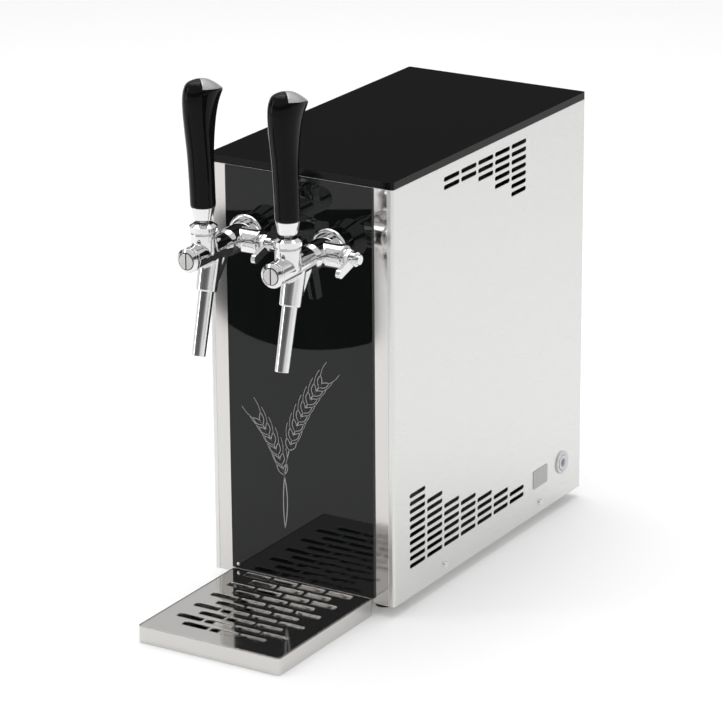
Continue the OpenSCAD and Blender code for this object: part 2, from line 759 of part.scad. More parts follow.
module drip_grille() color("Silver") place() difference() {
    edge = tray_t + grille_gap;
    round_plate(tray_w - 2 * edge, -tray_reach + edge, face_y - grille_gap, grille_z, tray_h, tray_r - edge);
    for (row = [0 : grille_rows - 1]) {
        n = row % 2 == 0 ? 4 : 3;
        for (i = [0 : n - 1])
            grille_slot((i - (n - 1) / 2) * slot_dx, tray_back - slot_first - row * slot_dy);
    }
}

// taps, each drawn round its own axis

module tap_shanks() color("Silver") both_taps() difference() {
    y_rod(shank_r, socket_y, tail_y);
    y_rod(shank_bore, socket_y - 1, tail_y + 1);
}

module tap_flanges() color("Silver") both_taps() difference() {
    front = face_y - collar_len;
    union() {
        y_cone(collar_r, flange_r, front + collar_round, face_y);
        y_rod(collar_r - collar_round, front, face_y);
        translate([0, front + collar_round, 0]) rotate([90, 0, 0]) rotate_extrude()
            translate([collar_r - collar_round, 0]) circle(r = collar_round);
    }
    y_rod(barrel_r + run_fit, front - 1, body_y);
    y_rod(shank_r, body_y - 1, face_y + 1);
}

module shank_nuts() color("Silver") both_taps() difference() {
    y_hex(16, sheet_t, sheet_t + 8);
    y_rod(shank_r, 0, sheet_t + 9);
}

module spout_frame() translate([0, spout_y, 0]) rotate([-spout_tilt, 0, 0]) children();

module tap_body() difference() {
    union() {
        y_rod(barrel_r, barrel_end, body_y);
        y_cone(valve_r, barrel_r, neck_end, barrel_end);
        y_rod(valve_r, -tap_reach, neck_end);
        translate([0, -pivot_y, 0]) cylinder(h = bonnet_top, r = bonnet_r);
        x_rod(comp_r, 0, comp_reach, -comp_y, 0);
        spout_frame() translate([0, 0, -socket_l]) cylinder(h = socket_l - 3, r1 = 9.6, r2 = 10.4);
        translate([0, web_y, 0]) rotate([-web_tilt, 0, 0]) translate([0, 0, -web_len])
            cylinder(h = web_len, r1 = web_end_r, r2 = web_r);
    }
    y_rod(shank_r, socket_y, body_y + 1);
    y_rod(chamber_r, seat_y, socket_y + 0.1);
    y_rod(6, seat_y - seat_t - 0.1, seat_y + 0.1);
    y_rod(front_r, -tap_reach - 1, seat_y - seat_t);
    translate([0, -pivot_y, 0]) cylinder(h = bonnet_top + 1, r = ball_r + free_fit);
    translate([0, -pivot_y, pivot_z]) rotate([tilt, 0, 0])
        box(-arm_room, arm_room, -arm_room, arm_room, -tip_arm, -ball_r);
    x_rod(spindle_r + run_fit, 1, comp_reach + 1, -comp_y, 0);
    x_rod(crank + crank_r + free_fit, 1, chamber_r + 0.4, -comp_y, 0);
    spout_frame() translate([0, 0, -socket_l - 1]) cylinder(h = spout_in + 1, r = spout_r);
    spout_frame() translate([0, 0, -socket_l]) cylinder(h = socket_l, r = spout_bore);
}

pin_r = 1.5;
web_y = -61;
web_tilt = 34;
web_len = 30;
web_r = 10;
web_end_r = 8.5;
barrel_end = -51;
neck_end = -57;

module left_tap_body() color("Silver") at_tap(-1) tap_body();

module right_tap_body() color("Silver") at_tap(1) tap_body();

module spout() spout_frame() difference() {
    union() {
        translate([0, 0, -socket_l]) cylinder(h = spout_in, r = spout_r);
        translate([0, 0, -spout_len]) cylinder(h = spout_len - socket_l, r1 = spout_tip_r, r2 = spout_r);
    }
    translate([0, 0, -spout_len - 1]) cylinder(h = spout_len, r = spout_bore);
}

module left_spout() color("Silver") at_tap(-1) spout();

module right_spout() color("Silver") at_tap(1) spout();

module front_caps() color("Silver") both_taps() difference() {
    union() {
        y_rod(front_r, -tap_reach, -tap_reach + 10);
        y_rod(valve_r, -tap_reach - 3, -tap_reach);
        y_cone(valve_r - 3, valve_r, -tap_reach - 5, -tap_reach - 3);
    }
    y_rod(rod_r + run_fit, -tap_reach - 3, -tap_reach + 11);
}

module bonnet_nuts() color("Silver") both_taps() translate([0, -pivot_y, 0]) difference() {
    union() {
        translate([0, 0, bonnet_top]) cylinder(h = 1, r = nut_r - 1.6);
        translate([0, 0, bonnet_top + 0.8]) cylinder(h = 0.6, r1 = nut_r - 0.6, r2 = nut_r);
        translate([0, 0, bonnet_top + 1.4]) cylinder(h = nut_top - nut_slope - bonnet_top - 1.4, r = nut_r);
        translate([0, 0, nut_top - nut_slope]) cylinder(h = nut_slope, r1 = nut_r, r2 = nut_r - 3.4);
    }
    translate([0, 0, bonnet_top - 1])
        cylinder(h = nut_top - nut_lip - bonnet_top + 1, r = ball_r + free_fit);
    translate([0, 0, bonnet_top]) cylinder(h = 10, r = stem_room + 0.2);
    translate([0, stem_room - nut_slot, bonnet_top]) cylinder(h = 10, r = stem_room);
    box(-stem_room, stem_room, stem_room - nut_slot, 0, pivot_z, nut_top + 1);
    x_rod(pin_r + run_fit, -nut_r + 0.35, nut_r - 0.35, 0, pivot_z);
}

module compensator_glands() color("Silver") both_taps() translate([comp_reach, -comp_y, 0]) rotate([0, 90, 0])
    difference() {
        union() {
            cylinder(h = 6, r = 8, $fn = 6);
            cylinder(h = 2, r = 8.6);
        }
        translate([0, 0, -1]) cylinder(h = 8, r = spindle_r + run_fit);
    }

module comp_lever() translate([0, -comp_y, 0]) {
    x_rod(spindle_r, chamber_r - 1, lever_x + 1, 0, 0);
    x_rod(crank_r, 3.4, chamber_r, 0, -crank);
    x_rod(6.5, lever_x, lever_x + lever_t + 1, 0, 0);
    x_rod(4.4, lever_x + lever_t, lever_x + lever_t + 4.5, 0, 0);
    rotate([-comp_drop, 0, 0]) mirror([0, 1, 0]) {
        box(lever_x, lever_x + lever_t, 0, comp_len - 4, -4, 4);
        x_rod(4, lever_x, lever_x + lever_t, comp_len - 4, 0);
    }
}

comp_drop = -16.5;

module left_comp_lever() color("Silver") at_tap(-1) comp_lever();

module right_comp_lever() color("Silver") at_tap(1) comp_lever();

module cone() difference() {
    union() {
        y_rod(7.5, -comp_y - 5, -comp_y + 5);
        y_cone(7.5, 3, -comp_y + 5, -comp_y + 14);
    }
    box(3, 9, -comp_y - 1.95, -comp_y + 1.95, -9, 9);
}

module left_cone() color("White") at_tap(-1) cone();

module right_cone() color("White") at_tap(1) cone();

module plunger() difference() {
    union() {
        y_rod(rod_r, -tap_reach - 2.5, seat_y - 14);
        y_rod(3.5, seat_y - 15, seat_y + 3);
        y_rod(chamber_r - free_fit, seat_y + 0.05, seat_y + 3);
    }
    box(-tip_r - 0.35, tip_r + 0.35, -pivot_y - tip_r - 0.45, -pivot_y + tip_r + 0.45, -4.5, rod_r + 1);
    box(-tip_r - 0.35, tip_r + 0.35, -pivot_y - 6.9, -pivot_y, 0.4, rod_r + 1);
}

module left_plunger() color("White") at_tap(-1) plunger();

module right_plunger() color("White") at_tap(1) plunger();

module stem() translate([0, -pivot_y, pivot_z]) {
    sphere(r = ball_r);
    x_rod(pin_r, -nut_r + 0.6, nut_r - 0.6, 0, 0);
    cylinder(h = handle_z - pivot_z + 28, r = stem_r);
    translate([0, 0, -tip_arm]) {
        cylinder(h = tip_arm, r = arm_r);
        sphere(r = tip_r);
    }
}

module left_stem() color("Silver") at_tap(-1) stem();

module right_stem() color("Silver") at_tap(1) stem();

module ferrule() translate([0, -pivot_y, ferrule_z]) difference() {
    union() {
        cylinder(h = 1, r1 = handle_r - 3.5, r2 = handle_r - 2.4);
        translate([0, 0, 1]) cylinder(h = ferrule_h - 1, r1 = handle_r - 2.4, r2 = handle_r);
    }
    translate([0, 0, -1]) cylinder(h = ferrule_h + 2, r = stem_r);
}

module left_ferrule() color("Silver") at_tap(-1) ferrule();

module right_ferrule() color("Silver") at_tap(1) ferrule();

// handle rings: height share, half width, half depth, lean to the front, tilt of the ring to the back
handle_rings = [
    [0, 10.9, 10.9, 0, 0],
    [0.1202, 10.9, 10.9, -0.5, 0],
    [0.2403, 11, 10.9, -1.2, 0],
    [0.3948, 11.1, 11.5, -2.1, 0],
    [0.4764, 11.3, 12.6, -2.6, 1],
    [0.5536, 11.6, 14, -2.8, 2],
    [0.6352, 12, 15.5, -2.7, 4],
    [0.7124, 12.5, 17, -2.4, 6],
    [0.7854, 13, 18.6, -1.3, 9],
    [0.824, 13.2, 19.4, -0.2, 11],
    [0.8584, 13.3, 20.3, 1.4, 12],
    [0.8893, 13.2, 21, 3.8, 13],
    [0.9082, 12.5, 21.6, 6, 13],
    [0.927, 11, 19, 4.2, 13],
    [0.9511, 8.3, 14.6, 3.4, 13],
    [0.9682, 4.5, 8.2, 4, 13],
    [0.9751, 1.5, 2.6, 4.2, 13]];
ring_n = 32;
// depth and height of the inlay's lower front corner, slope of its floor, lean of its front
inlay_y = -8;
inlay_share = 0.905;
inlay_floor = 8;
inlay_front = 10;

function ring_point(r, i) = let (a = 360 * i / ring_n, k = handle_r / 10.9, y = k * r[2] * sin(a))
    [k * r[1] * cos(a), k * r[3] + y, r[0] * handle_h - y * tan(r[4])];

function skin(rows) = concat(
    [[for (i = [0 : ring_n - 1]) i]],
    [for (k = [0 : rows - 2], i = [0 : ring_n - 1])
        [k * ring_n + i, (k + 1) * ring_n + i, k * ring_n + (i + 1) % ring_n]],
    [for (k = [0 : rows - 2], i = [0 : ring_n - 1])
        [k * ring_n + (i + 1) % ring_n, (k + 1) * ring_n + i, (k + 1) * ring_n + (i + 1) % ring_n]],
    [[for (i = [ring_n - 1 : -1 : 0]) (rows - 1) * ring_n + i]]);

module handle_form()
    polyhedron(points = [for (r = handle_rings, i = [0 : ring_n - 1]) ring_point(r, i)],
        faces = skin(len(handle_rings)));

// the top rear of the head, which the inlay fills
module inlay_room() translate([-30, inlay_y, inlay_share * handle_h]) rotate([90, 0, 90])
    linear_extrude(height = 60) polygon([[0, 0], [60, -60 * tan(inlay_floor)], [60, 30],
        [30 * tan(inlay_front), 30]]);

module handle() translate([0, -pivot_y, handle_z]) difference() {
    handle_form();
    inlay_room();
    translate([0, 0, -1]) cylinder(h = 29, r = stem_r);
}

module left_handle() color("Black") at_tap(-1) handle();

module right_handle() color("Black") at_tap(1) handle();

module inlay() translate([0, -pivot_y, handle_z]) intersection() {
    handle_form();
    inlay_room();
}

module left_inlay() color("Silver") at_tap(-1) inlay();

module right_inlay() color("Silver") at_tap(1) inlay();

base_pan();
rubber_feet();
left_side_panel();
right_side_panel();
front_panel();
black_fascia();
rear_panel();
top_lid();
panel_screws();
block_shelf();
compressor();
compressor_grommets();
condenser();
fan_shroud();
fan_motor();
fan_blade();
cold_block();
block_insulation();
beer_lines();
inlet_hoses();
thermostat();
thermostat_knob();
air_pump();
air_hose();
refrigerant_lines();
mains_inlet();
switch_housings();
power_switch();
pump_switch();
beer_inlets();
left_inlet_collet();
right_inlet_collet();
air_outlet();
air_outlet_collet();
drip_pan();
drip_grille();
tap_shanks();
tap_flanges();
shank_nuts();
front_caps();
bonnet_nuts();
compensator_glands();
left_tap_body();
right_tap_body();
left_spout();
right_spout();
left_handle();
right_handle();
left_inlay();
right_inlay();
left_ferrule();
right_ferrule();
left_stem();
right_stem();
left_plunger();
right_plunger();
left_cone();
right_cone();
left_comp_lever();
right_comp_lever();
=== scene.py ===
# Looks of a counter-top beer cooler with two pull taps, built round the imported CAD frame.
import json
import math

import bmesh
import bpy
from mathutils import Matrix, Vector


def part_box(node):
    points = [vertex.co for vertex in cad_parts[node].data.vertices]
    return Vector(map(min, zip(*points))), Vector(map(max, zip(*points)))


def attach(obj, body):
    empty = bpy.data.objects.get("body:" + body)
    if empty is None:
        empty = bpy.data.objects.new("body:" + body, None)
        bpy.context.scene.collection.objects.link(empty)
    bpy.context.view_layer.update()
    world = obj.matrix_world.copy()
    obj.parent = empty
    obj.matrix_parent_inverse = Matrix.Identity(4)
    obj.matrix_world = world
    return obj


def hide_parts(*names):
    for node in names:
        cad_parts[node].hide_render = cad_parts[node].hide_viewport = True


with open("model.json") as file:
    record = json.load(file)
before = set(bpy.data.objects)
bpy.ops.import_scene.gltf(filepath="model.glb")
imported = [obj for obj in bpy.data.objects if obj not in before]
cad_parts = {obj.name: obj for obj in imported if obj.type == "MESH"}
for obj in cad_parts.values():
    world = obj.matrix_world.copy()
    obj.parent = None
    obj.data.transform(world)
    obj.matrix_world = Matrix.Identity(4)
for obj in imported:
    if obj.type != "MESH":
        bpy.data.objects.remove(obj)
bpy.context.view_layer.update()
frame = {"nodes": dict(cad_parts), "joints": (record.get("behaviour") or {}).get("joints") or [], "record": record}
nodes = frame["nodes"]
joints = {j["name"]: j for j in frame["joints"]}
MM = 0.001

# The photograph's camera
CAMERA_AT = (1.638, -2.691, 1.2888)
CAMERA_AZIMUTH = 31.34
CAMERA_ELEVATION = 19.09
CAMERA_ROLL = -0.42
CAMERA_LENS = 179.4
CAMERA_SENSOR = 36
CAMERA_FAR = 50


# Shader helpers

NOISE_MIDDLE = (0.3, 0.7)
EDGE_SAMPLES = 4


def new_material(name):
    material = bpy.data.materials.new(name)
    material.use_nodes = True
    tree = material.node_tree
    return material, tree, tree.nodes["Principled BSDF"]


def set_inputs(node, **values):
    for name, value in values.items():
        node.inputs[name.replace("_", " ")].default_value = value


def noise(tree, scale, stretch=(1, 1, 1), detail=3):
    """A noise value of the object's own space, with stretch giving its grain."""
    coords = tree.nodes.new("ShaderNodeTexCoord")
    mapping = tree.nodes.new("ShaderNodeMapping")
    mapping.inputs["Scale"].default_value = stretch
    texture = tree.nodes.new("ShaderNodeTexNoise")
    set_inputs(texture, Scale=scale, Detail=detail)
    tree.links.new(coords.outputs["Object"], mapping.inputs["Vector"])
    tree.links.new(mapping.outputs["Vector"], texture.inputs["Vector"])
    return texture.outputs["Fac"]


def spread(tree, value, low, high):
    """Maps the middle of a noise value to the range from low to high."""
    node = tree.nodes.new("ShaderNodeMapRange")
    set_inputs(node, From_Min=NOISE_MIDDLE[0], From_Max=NOISE_MIDDLE[1], To_Min=low, To_Max=high)
    tree.links.new(value, node.inputs["Value"])
    return node.outputs["Result"]


def tint(tree, value, dark, light):
    """A colour between dark and light that follows a noise value."""
    node = tree.nodes.new("ShaderNodeMix")
    node.data_type = "RGBA"
    node.inputs["A"].default_value = (*dark, 1)
    node.inputs["B"].default_value = (*light, 1)
    tree.links.new(value, node.inputs["Factor"])
    return node.outputs["Result"]


def bump(tree, value, depth, normal=None):
    node = tree.nodes.new("ShaderNodeBump")
    set_inputs(node, Strength=1, Distance=depth)
    tree.links.new(value, node.inputs["Height"])
    if normal is not None:
        tree.links.new(normal, node.inputs["Normal"])
    return node.outputs["Normal"]


def soft_edge(tree, radius):
    """A normal that rounds the piece's sharp edges in the shading."""
    node = tree.nodes.new("ShaderNodeBevel")
    node.samples = EDGE_SAMPLES
    set_inputs(node, Radius=radius)
    return node.outputs["Normal"]


def finish(name, dark, light, rough, metallic=0.0, grain=300, stretch=(1, 1, 1), depth=0.0, edge=0.0,
           **more):
    """A procedural finish: colour and roughness follow one grain, which also gives the relief."""
    material, tree, shader = new_material(name)
    value = noise(tree, grain, stretch)
    tree.links.new(tint(tree, value, dark, light), shader.inputs["Base Color"])
    tree.links.new(spread(tree, value, *rough), shader.inputs["Roughness"])
    normal = soft_edge(tree, edge) if edge else None
    if depth:
        normal = bump(tree, value, depth, normal)
    if normal is not None:
        tree.links.new(normal, shader.inputs["Normal"])
    set_inputs(shader, Metallic=metallic, **more)
    return material


# Finishes, one for each slot of the record

def grey(value):
    return (value, value, value)


ALONG_Y = (60, 1, 60)
ALONG_Z = (60, 60, 1)

FINISHES = {
    "satin_steel": finish("satin_steel", (0.70, 0.70, 0.685), (0.72, 0.72, 0.705), (0.27, 0.32), 1.0,
                          grain=25, stretch=ALONG_Y, depth=0.000001, edge=0.0008),
    "mirror_steel": finish("mirror_steel", (0.62, 0.605, 0.59), (0.66, 0.645, 0.63), (0.06, 0.1), 1.0,
                           grain=9, depth=0.00002, edge=0.0014),
    "black_glass": finish("black_glass", (0.004, 0.005, 0.005), (0.006, 0.007, 0.007), (0.01, 0.02), grain=40,
                          Specular_IOR_Level=0.32),
    "black_paint": finish("black_paint", grey(0.004), grey(0.006), (0.05, 0.08), grain=900, edge=0.0003,
                          Specular_IOR_Level=0.15),
    "rubber": finish("rubber", grey(0.02), grey(0.035), (0.6, 0.8), grain=700, depth=0.00004),
    "zinc": finish("zinc", (0.5, 0.5, 0.48), (0.64, 0.64, 0.62), (0.3, 0.45), 1.0, grain=60),
    "chrome": finish("chrome", grey(0.74), grey(0.79), (0.03, 0.06), 1.0, grain=120, edge=0.0006),
    "black_enamel": finish("black_enamel", grey(0.012), grey(0.022), (0.3, 0.4), grain=500, depth=0.00002),
    "aluminium": finish("aluminium", grey(0.68), grey(0.78), (0.32, 0.45), 1.0, grain=30, stretch=ALONG_Z),
    "copper": finish("copper", (0.62, 0.28, 0.15), (0.78, 0.42, 0.25), (0.22, 0.38), 1.0, grain=90),
    "foam": finish("foam", grey(0.012), grey(0.022), (0.8, 0.95), grain=350, depth=0.0003),
    "black_plastic": finish("black_plastic", grey(0.016), grey(0.028), (0.38, 0.5), grain=1400,
                            depth=0.00003, edge=0.0006),
    "gloss_black": finish("gloss_black", grey(0.004), grey(0.007), (0.06, 0.1), grain=200,
                          Specular_IOR_Level=0.1),
    "white_plastic": finish("white_plastic", (0.78, 0.79, 0.82), (0.84, 0.85, 0.88), (0.26, 0.36), grain=800,
                            edge=0.0006),
    "grey_plastic": finish("grey_plastic", (0.26, 0.27, 0.28), (0.33, 0.34, 0.35), (0.36, 0.48), grain=900,
                           depth=0.00002, edge=0.0005),
    "clear_hose": finish("clear_hose", (0.72, 0.72, 0.69), (0.82, 0.82, 0.8), (0.18, 0.28), grain=80,
                         Transmission_Weight=0.35),
    "silver_plastic": finish("silver_plastic", grey(0.52), grey(0.58), (0.28, 0.36), 0.55, grain=900,
                             edge=0.0005),
    "green_rocker": finish("green_rocker", (0.03, 0.27, 0.09), (0.05, 0.36, 0.13), (0.2, 0.3), grain=600,
                           edge=0.0008),
    "red_rocker": finish("red_rocker", (0.38, 0.03, 0.025), (0.48, 0.05, 0.035), (0.2, 0.3), grain=600,
                         edge=0.0008),
    "fan_plastic": finish("fan_plastic", grey(0.07), grey(0.11), (0.4, 0.55), grain=800),
}
PLATE_FOIL = finish("plate_foil", grey(0.42), grey(0.5), (0.35, 0.45), 0.7, grain=25, stretch=ALONG_Y)
PRINT = finish("print_ink", grey(0.36), grey(0.46), (0.3, 0.4), grain=500)


def dress_frame():
    """Gives every CAD node the finish of its record slot."""
    for row in frame["record"]["subparts"]:
        slots = nodes[row["node"]].data.materials
        slots.clear()
        slots.append(FINISHES[row["material_slot"]])


# Mesh helpers

MERGE_DISTANCE = 0.002 * MM
BEVEL_SEGMENTS = 2


def new_piece(name, mesh, slot, body, *replaced, look=None):
    piece = bpy.data.objects.new(name, mesh)
    bpy.context.scene.collection.objects.link(piece)
    mesh.materials.clear()
    mesh.materials.append(look or FINISHES[slot])
    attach(piece, body)
    if replaced:
        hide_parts(*replaced)
    return piece


def settle(piece):
    """Bakes the piece's modifiers into its mesh."""
    bpy.context.view_layer.update()
    graph = bpy.context.evaluated_depsgraph_get()
    mesh = bpy.data.meshes.new_from_object(piece.evaluated_get(graph))
    piece.modifiers.clear()
    piece.data = mesh


def bevel_edges(piece, width):
    """Takes the sharpness off the piece's edges."""
    bevel = piece.modifiers.new("edge", "BEVEL")
    bevel.width = width
    bevel.segments = BEVEL_SEGMENTS
    settle(piece)


def thicken(piece, thickness):
    """Gives a flat print its thickness, half to each side."""
    ink = piece.modifiers.new("ink", "SOLIDIFY")
    ink.thickness = thickness
    ink.offset = 0
    settle(piece)


def shade_smooth(mesh):
    mesh.polygons.foreach_set("use_smooth", [True] * len(mesh.polygons))


def plain_mesh(name, bm):
    """A mesh of what was drawn, as it is."""
    mesh = bpy.data.meshes.new(name)
    bm.to_mesh(mesh)
    bm.free()
    return mesh


def closed_mesh(name, bm):
    """A mesh of a closed skin, its faces turned outwards."""
    bmesh.ops.recalc_face_normals(bm, faces=bm.faces[:])
    return plain_mesh(name, bm)


def join_rings(bm, rings):
    """Skins a stack of rings and closes both ends."""
    count = len(rings[0])
    for low, high in zip(rings, rings[1:]):
        for i in range(count):
            j = (i + 1) % count
            bm.faces.new((low[i], low[j], high[j], high[i]))
    bm.faces.new(reversed(rings[0]))
    bm.faces.new(rings[-1])


def lathe(bm, centre, profile, sides):
    """A round body towards the front, from its radii and heights in mm."""
    rings = []
    for radius, height in profile:
        ring = []
        for i in range(sides):
            turn = 2 * math.pi * i / sides
            offset = Vector((radius * math.cos(turn), -height, radius * math.sin(turn)))
            ring.append(bm.verts.new(centre + offset * MM))
        rings.append(ring)
    join_rings(bm, rings)


def rounded_outline(size, corner, steps=6):
    """The points of a rectangle with round corners, about its middle."""
    points = []
    for quarter, (sx, sy) in enumerate(((1, 1), (-1, 1), (-1, -1), (1, -1))):
        centre = Vector((sx * (size[0] / 2 - corner), sy * (size[1] / 2 - corner)))
        for i in range(steps + 1):
            a = math.pi / 2 * (quarter + i / steps)
            points.append(centre + Vector((math.cos(a), math.sin(a))) * corner)
    return points


def ribbon(bm, path, width, closed=False):
    """A flat line along a path of x and z points."""
    count = len(path)
    rows = []
    for i, point in enumerate(path):
        before = path[i - 1] if closed or i else point
        after = path[(i + 1) % count] if closed or i + 1 < count else point
        along = (after - before).normalized()
        across = Vector((-along.y, along.x)) * width / 2
        rows.append([bm.verts.new((p.x, 0, p.y)) for p in (point + across, point - across)])
    for i in range(count if closed else count - 1):
        a, b = rows[i], rows[(i + 1) % count]
        bm.faces.new((a[0], a[1], b[1], b[0]))


# Tap handles: a lofted grip and the pale inlay on the top of its head

# height, half width, half depth and lean to the rear in mm, and the tilt down to the rear in degrees
HANDLE_SECTIONS = [
    (0, 11.4, 11.4, 0, 0), (0.6, 11.4, 11.4, 0, 0), (14, 11.4, 11.4, -0.5, 0),
    (28, 11.6, 11.4, -1.2, 0), (46, 11.7, 12.1, -2.1, 0), (55.5, 11.9, 13.2, -2.6, 1),
    (64.5, 12.2, 14.7, -2.8, 2), (74, 12.6, 16.3, -2.7, 4), (83, 13.1, 17.9, -2.4, 6),
    (91.5, 13.7, 19.5, -1.3, 9), (96, 13.9, 20.4, -0.2, 11), (100, 14, 21.3, 1.4, 12),
    (103.6, 13.9, 22.1, 3.8, 13), (105.8, 13.1, 22.7, 6, 13), (108, 11.6, 19.9, 4.2, 13),
    (110.8, 8.7, 15.3, 3.4, 13), (112.8, 4.7, 8.6, 4, 13), (113.6, 1.6, 2.7, 4.2, 13)]
HANDLE_SIDES = 32
HANDLE_ROUNDS = 2


def section_ring(bm, base, section):
    height, width, depth, lean, tilt = section
    ring = []
    for i in range(HANDLE_SIDES):
        turn = 2 * math.pi * i / HANDLE_SIDES
        back = depth * math.sin(turn)
        point = (width * math.cos(turn), lean + back, height - back * math.tan(math.radians(tilt)))
        ring.append(bm.verts.new(base + Vector(point) * MM))
    return ring


def handle_loft(base):
    bm = bmesh.new()
    join_rings(bm, [section_ring(bm, base, s) for s in HANDLE_SECTIONS])
    return bm


def make_handle(side):
    pivot = Vector(joints[side + "_tap_pull"]["pos_m"])
    base = Vector((pivot.x, pivot.y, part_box(side + "_ferrule")[1].z))
    mesh = plain_mesh(side + "_grip", handle_loft(base))
    piece = new_piece(side + "_grip", mesh, "gloss_black", side + "_lever", side + "_handle")
    subdivide = piece.modifiers.new("round", "SUBSURF")
    subdivide.levels = HANDLE_ROUNDS
    subdivide.render_levels = HANDLE_ROUNDS
    settle(piece)
    shade_smooth(piece.data)
    make_inlay(side, base, piece.data)


# the inlay's front corner: its place towards the rear and its height, in mm
INLAY_CORNER = (-1, 106.4)
INLAY_FLOOR = math.radians(8)
INLAY_SWEEP = math.radians(46)
INLAY_PROUD = 0.25 * MM


def keep_side(bm, point, normal):
    """Cuts the mesh by a plane and keeps the side its normal points to."""
    bmesh.ops.bisect_plane(bm, geom=bm.verts[:] + bm.edges[:] + bm.faces[:], plane_co=point,
                           plane_no=normal, clear_inner=True)


def make_inlay(side, base, grip):
    """A thin shell over the top rear of the head, its front edge swept forward to both sides."""
    corner = base + Vector((0, INLAY_CORNER[0], INLAY_CORNER[1])) * MM
    mesh = bpy.data.meshes.new(side + "_badge_face")
    halves = bmesh.new()
    for hand in (1, -1):
        bm = bmesh.new()
        bm.from_mesh(grip)
        keep_side(bm, corner, Vector((hand, 0, 0)))
        keep_side(bm, corner, Vector((0, math.sin(INLAY_FLOOR), math.cos(INLAY_FLOOR))))
        keep_side(bm, corner, Vector((hand * math.sin(INLAY_SWEEP), math.cos(INLAY_SWEEP), 0)))
        bm.to_mesh(mesh)
        bm.free()
        halves.from_mesh(mesh)
    bmesh.ops.remove_doubles(halves, verts=halves.verts[:], dist=MERGE_DISTANCE)
    halves.normal_update()
    for v in halves.verts:
        v.co += v.normal * INLAY_PROUD
    halves.to_mesh(mesh)
    halves.free()
    piece = new_piece(side + "_badge_face", mesh, "silver_plastic", side + "_lever", side + "_inlay")
    shell = piece.modifiers.new("shell", "SOLIDIFY")
    shell.thickness = 2 * INLAY_PROUD
    settle(piece)
    shade_smooth(piece.data)


# Cast tap bodies: the CAD solid with its inner corners flowing together

CAST_VOXEL = 0.6 * MM
CAST_SMOOTH = 0.5
CAST_ROUNDS = 6


def make_cast(side):
    node = side + "_tap_body"
    mesh = nodes[node].data.copy()
    bm = bmesh.new()
    bm.from_mesh(mesh)
    bmesh.ops.remove_doubles(bm, verts=bm.verts[:], dist=MERGE_DISTANCE)
    bm.to_mesh(mesh)
    bm.free()
    piece = new_piece(side + "_cast_body", mesh, "chrome", "cabinet", node)
    remesh = piece.modifiers.new("remesh", "REMESH")
    remesh.mode = "VOXEL"
    remesh.voxel_size = CAST_VOXEL
    smooth = piece.modifiers.new("smooth", "SMOOTH")
    smooth.factor = CAST_SMOOTH
    smooth.iterations = CAST_ROUNDS
    settle(piece)
    shade_smooth(piece.data)


# Slotted discs on the front caps of the taps, each on a dark seal

DISC_R = 7.1 * MM
DISC_T = 0.9 * MM
DISC_SLOT = 1.3 * MM
DISC_BEVEL = 0.3 * MM
DISC_ARC = 28
# radius and height over the cap, in mm
SEAL_PROFILE = [(7.8, 0), (7.95, 0.12), (7.95, 0.28), (7.8, 0.4)]
ROUND_SIDES = 48


def half_disc(bm, centre, opposite):
    """One half of a disc that a slot parts, as a prism towards the front."""
    reach = math.acos(DISC_SLOT / 2 / DISC_R)
    front = []
    for i in range(DISC_ARC + 1):
        turn = reach * (2 * i / DISC_ARC - 1)
        offset = Vector((math.cos(turn), 0, math.sin(turn))) * DISC_R
        front.append(centre + (-offset if opposite else offset))
    rear_ring = [bm.verts.new(p) for p in front]
    front_ring = [bm.verts.new(p - Vector((0, DISC_T, 0))) for p in front]
    join_rings(bm, [rear_ring, front_ring])


def make_cap_disc(side):
    pull = joints[side + "_tap_pull"]["pos_m"]
    flow = joints[side + "_flow_turn"]["pos_m"]
    centre = Vector((pull[0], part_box("front_caps")[0].y, flow[2]))
    bm = bmesh.new()
    half_disc(bm, centre, False)
    half_disc(bm, centre, True)
    mesh = closed_mesh(side + "_cap_disc", bm)
    piece = new_piece(side + "_cap_disc", mesh, "satin_steel", "cabinet")
    bevel_edges(piece, DISC_BEVEL)
    bm = bmesh.new()
    lathe(bm, centre, SEAL_PROFILE, ROUND_SIDES)
    new_piece(side + "_cap_seal", closed_mesh(side + "_cap_seal", bm), "rubber", "cabinet")


# Line print on the fascia: two ears of barley

PRINT_T = 0.06 * MM
STEM_LINE = 0.95 * MM
GRAIN_LINE = STEM_LINE * 0.7
AWN_LINE = STEM_LINE * 0.5
STEM_STEPS = 40
# shares of the stem where the grains start and how far they go on
EAR_FROM = 0.5
EAR_SHARE = 0.48
GRAIN_SIZE = (12 * MM, 4.6 * MM)
GRAIN_LEAN = 27
GRAIN_STEPS = 20
AWN_LENGTH = 15 * MM
AWN_BOW = 0.6
AWN_STEPS = 6
# from the middle of the fascia's foot, in mm
STEM_FOOT = (-18, 50)
# tip of the stem, its bow as a share of its length, and pairs of grains
EARS = [((22, 196), 0.1, 8), ((-42, 148), -0.12, 6)]


def stem_point(foot, tip, bend, share):
    """A point of a bowed stem, and its direction there."""
    along = tip - foot
    across = Vector((-along.y, along.x)) * bend
    point = foot + along * share + across * 4 * share * (1 - share)
    direction = along + across * 4 * (1 - 2 * share)
    return point, direction.normalized()


def turned(direction, degrees):
    a = math.radians(degrees)
    return Vector((direction.x * math.cos(a) - direction.y * math.sin(a),
                   direction.x * math.sin(a) + direction.y * math.cos(a)))


def grain_outline(root, direction):
    across = Vector((-direction.y, direction.x))
    length, width = GRAIN_SIZE
    outline = []
    for i in range(GRAIN_STEPS):
        share = i / GRAIN_STEPS
        reach = length * (1 - abs(1 - 2 * share))
        side = width / 2 * math.sin(math.pi * (reach / length)) * (1 if share < 0.5 else -1)
        outline.append(root + direction * reach + across * side)
    return outline


